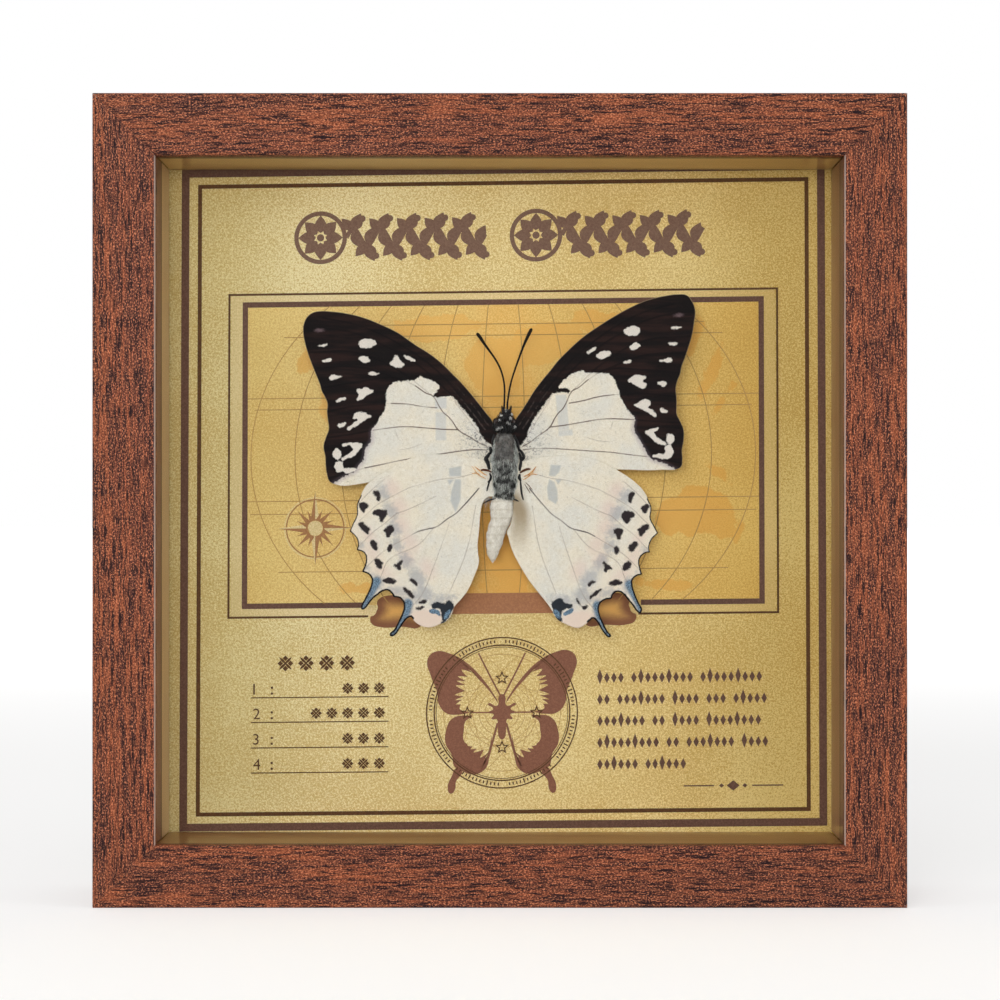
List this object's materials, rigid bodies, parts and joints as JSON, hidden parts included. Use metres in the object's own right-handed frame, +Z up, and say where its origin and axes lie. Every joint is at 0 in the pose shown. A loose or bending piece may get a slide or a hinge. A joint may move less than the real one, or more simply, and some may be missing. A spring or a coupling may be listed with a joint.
{
  "type": "framed butterfly specimen",
  "caption": "Square wooden shadow box with a glass front, a gold printed card and a spread swallow-winged butterfly mounted in front of it.",
  "frame": {"origin": "centre of the frame's bottom face, which it stands on", "axes": "+X across the frame to the viewer's right, +Y from the glass front towards the back, +Z up"},
  "size_m": [0.18, 0.03, 0.18],
  "materials": {
    "foil_wood": "matte walnut-grain foil over the rail, with fine pores",
    "clear_glass": "clear float glass",
    "bronze_plastic": "glossy bronze-brown strip",
    "gold_card": "gold pearl card with brown print",
    "brown_board": "plain brown fibreboard",
    "zinc_steel": "zinc-plated sheet steel",
    "brassed_steel": "brass-plated nail head",
    "wing_membrane": "scaled wing, cream with black and pale-spotted borders, matte",
    "grey_fur": "dark grey hair",
    "pale_fur": "cream hair",
    "black_shell": "black horny shell",
    "white_foam": "white foam"
  },
  "bodies": {
    "root": {"abdomen": "pale_fur", "antenna_left": "black_shell", "antenna_right": "black_shell", "backing_board": "brown_board", "foam_pad": "white_foam", "forewing_left": "wing_membrane", "forewing_right": "wing_membrane", "glass_pane": "clear_glass", "hanger_nail_left": "brassed_steel", "hanger_nail_right": "brassed_steel", "head": "black_shell", "hindwing_left": "wing_membrane", "hindwing_right": "wing_membrane", "printed_card": "gold_card", "rail_bottom": "foil_wood", "rail_left": "foil_wood", "rail_right": "foil_wood", "rail_top": "foil_wood", "retaining_point_bottom": "zinc_steel", "retaining_point_left": "zinc_steel", "retaining_point_right": "zinc_steel", "retaining_point_top": "zinc_steel", "sawtooth_hanger": "zinc_steel", "spacer_bottom": "bronze_plastic", "spacer_left": "bronze_plastic", "spacer_right": "bronze_plastic", "spacer_top": "bronze_plastic", "thorax": "grey_fur"}
  },
  "joints": []
}
